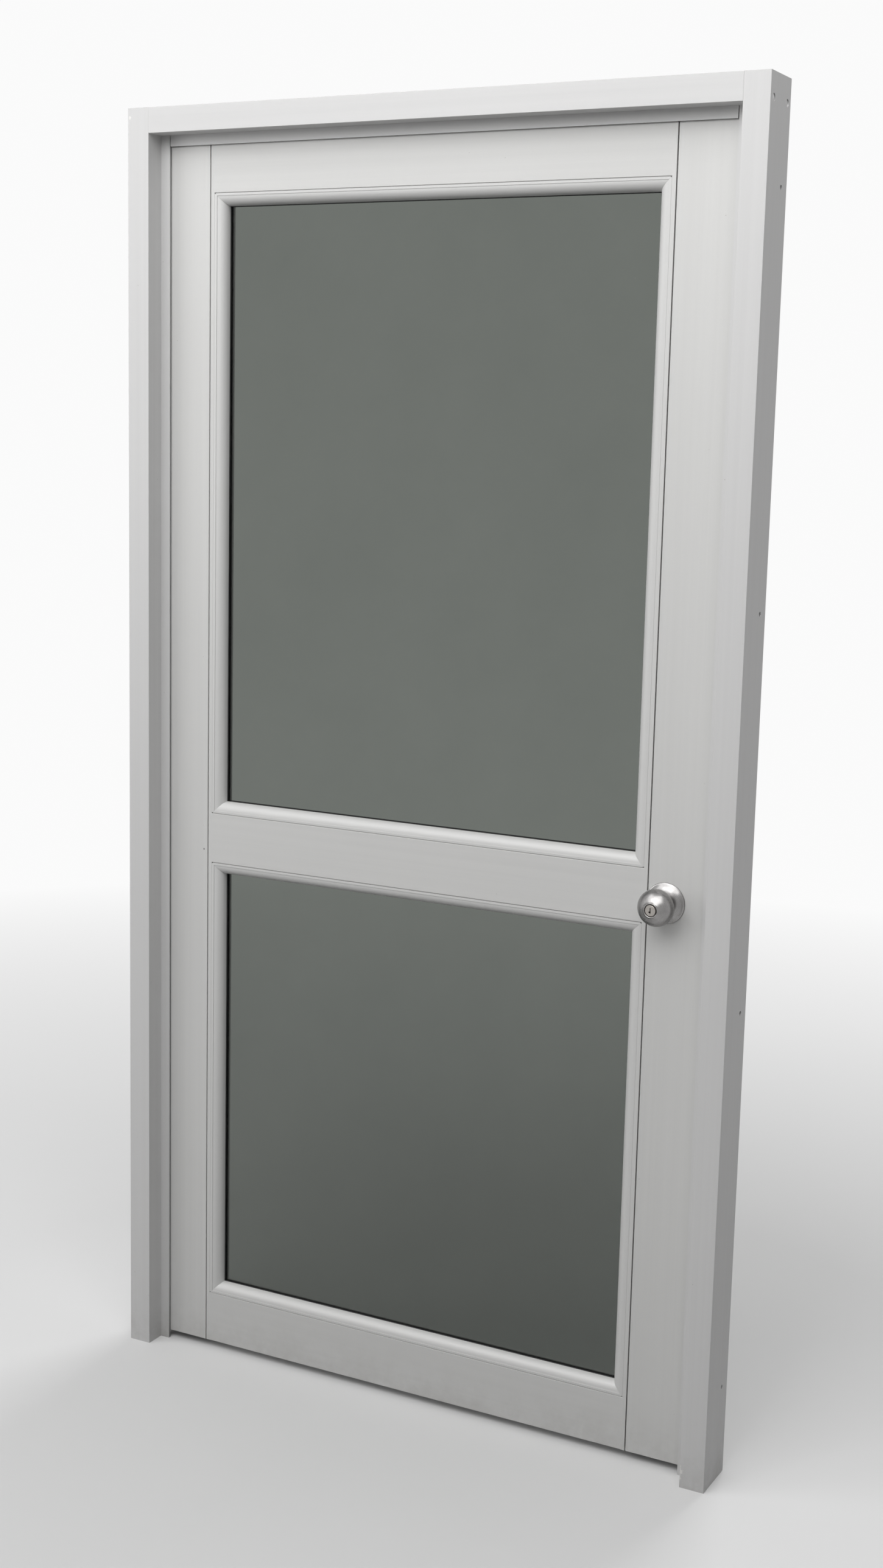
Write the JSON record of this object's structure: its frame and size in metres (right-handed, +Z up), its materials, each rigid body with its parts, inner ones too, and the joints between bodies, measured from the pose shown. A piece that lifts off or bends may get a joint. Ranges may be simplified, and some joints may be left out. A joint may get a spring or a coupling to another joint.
{
  "type": "glass door",
  "caption": "Aluminium swing door in its frame, with glass above and below a middle rail, rounded glazing beads, butt hinges, a spring latch and a keyed round knob.",
  "frame": {"origin": "on the floor, midway between the jambs and midway through the leaf's thickness", "axes": "+X along the wall from the hinge side to the lock side, +Y through the wall from the keyed side to the room side, +Z up"},
  "size_m": [1.08, 0.1738, 2.1],
  "materials": {
    "frame_aluminium": "matte silver coating",
    "leaf_aluminium": "matte silver coating",
    "bead_aluminium": "matte silver coating",
    "seal_rubber": "matte",
    "gasket_rubber": "matte",
    "block_plastic": "matte",
    "pane_glass": "clear",
    "hinge_steel": "satin",
    "screw_steel": "satin",
    "knob_steel": "fine turned satin",
    "plug_nickel": "satin",
    "lock_steel": "satin"
  },
  "bodies": {
    "frame": {"jamb_left": "frame_aluminium", "jamb_right": "frame_aluminium", "head": "frame_aluminium", "seal_left": "seal_rubber", "seal_right": "seal_rubber", "seal_head": "seal_rubber", "frame_screws": "screw_steel", "strike_plate": "lock_steel", "strike_screws": "screw_steel", "hinge_frame_screws": "screw_steel", "hinge_bottom_frame_leaf": "hinge_steel", "hinge_bottom_pin": "hinge_steel", "hinge_middle_frame_leaf": "hinge_steel", "hinge_middle_pin": "hinge_steel", "hinge_top_frame_leaf": "hinge_steel", "hinge_top_pin": "hinge_steel"},
    "leaf": {"hinge_stile": "leaf_aluminium", "lock_stile": "leaf_aluminium", "channel_left": "leaf_aluminium", "channel_right": "leaf_aluminium", "top_rail": "leaf_aluminium", "mid_rail": "leaf_aluminium", "bottom_rail": "leaf_aluminium", "upper_bead_top": "bead_aluminium", "upper_bead_bottom": "bead_aluminium", "upper_bead_left": "bead_aluminium", "upper_bead_right": "bead_aluminium", "lower_bead_top": "bead_aluminium", "lower_bead_bottom": "bead_aluminium", "lower_bead_left": "bead_aluminium", "lower_bead_right": "bead_aluminium", "upper_back_beads": "bead_aluminium", "lower_back_beads": "bead_aluminium", "upper_front_gasket": "gasket_rubber", "upper_back_gasket": "gasket_rubber", "lower_front_gasket": "gasket_rubber", "lower_back_gasket": "gasket_rubber", "upper_glass": "pane_glass", "lower_glass": "pane_glass", "setting_blocks": "block_plastic", "rail_screws": "screw_steel", "hinge_door_screws": "screw_steel", "outer_rose": "knob_steel", "inner_rose": "knob_steel", "outer_mount_plate": "lock_steel", "inner_mount_plate": "lock_steel", "rose_bolts": "screw_steel", "latch_case": "lock_steel", "latch_faceplate": "lock_steel", "faceplate_screws": "screw_steel", "hinge_bottom_door_leaf": "hinge_steel", "hinge_middle_door_leaf": "hinge_steel", "hinge_top_door_leaf": "hinge_steel"},
    "knobs": {"outer_knob": "knob_steel", "inner_knob": "knob_steel", "spindle": "lock_steel"},
    "key": {"key_plug": "plug_nickel"},
    "button": {"turn_button": "knob_steel"},
    "latch": {"latch_bolt": "lock_steel"}
  },
  "joints": [
    {"name": "leaf_swing", "type": "hinge", "parent": "frame", "child": "leaf", "pos_m": [-0.49725, 0.029, 1.05], "axis": [0, 0, 1], "range_deg": [0, 100]},
    {"name": "knob_turn", "type": "hinge", "parent": "leaf", "child": "knobs", "pos_m": [0.421, 0, 0.9085], "axis": [0, -1, 0], "range_deg": [0, 60], "stiffness_Nm_per_rad": 0.3},
    {"name": "latch_slide", "type": "slide", "parent": "leaf", "child": "latch", "axis": [-1, 0, 0], "range_m": [0, 0.0115]},
    {"name": "key_turn", "type": "hinge", "parent": "knobs", "child": "key", "pos_m": [0.421, -0.0835, 0.9085], "axis": [0, -1, 0], "range_deg": [0, 90]},
    {"name": "button_turn", "type": "hinge", "parent": "knobs", "child": "button", "pos_m": [0.421, 0.085, 0.9085], "axis": [0, 1, 0], "range_deg": [0, 90]}
  ],
  "couplings": [
    {"joint": "latch_slide", "follows": "knob_turn", "m_per_rad": 0.01098}
  ]
}
